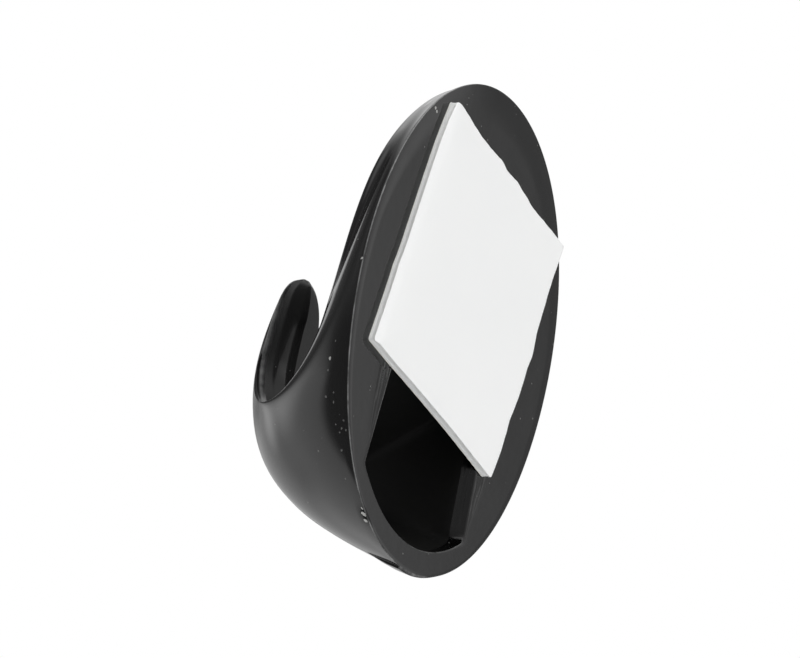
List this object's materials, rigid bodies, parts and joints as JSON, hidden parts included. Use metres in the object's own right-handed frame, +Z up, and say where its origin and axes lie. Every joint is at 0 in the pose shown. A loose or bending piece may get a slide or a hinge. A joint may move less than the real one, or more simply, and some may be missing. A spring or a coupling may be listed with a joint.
{
  "type": "adhesive wall hook",
  "caption": "Oval moulded wall hook with an upturned tongue, hollow behind, held to the wall by a square of double-sided foam tape under a peel-off liner.",
  "frame": {"origin": "on the wall side of the release liner, behind the oval's widest line, on the mid-plane", "axes": "+Z up, +Y towards the wall, +X to the right of someone who faces the wall"},
  "size_m": [0.0446, 0.0232, 0.0559],
  "materials": {
    "black_plastic": "glossy injection-moulded black plastic",
    "adhesive_film": "tacky translucent acrylic film",
    "white_foam": "white closed-cell foam",
    "liner_paper": "smooth white release paper"
  },
  "bodies": {
    "hook": {"hook_body": "black_plastic", "hook_side_adhesive": "adhesive_film", "foam_core": "white_foam", "wall_side_adhesive": "adhesive_film"},
    "liner": {"release_liner": "liner_paper"}
  },
  "joints": [
    {"name": "liner_lift", "type": "slide", "parent": "hook", "child": "liner", "axis": [0, 1, 0], "range_m": [0, 0.03]}
  ]
}
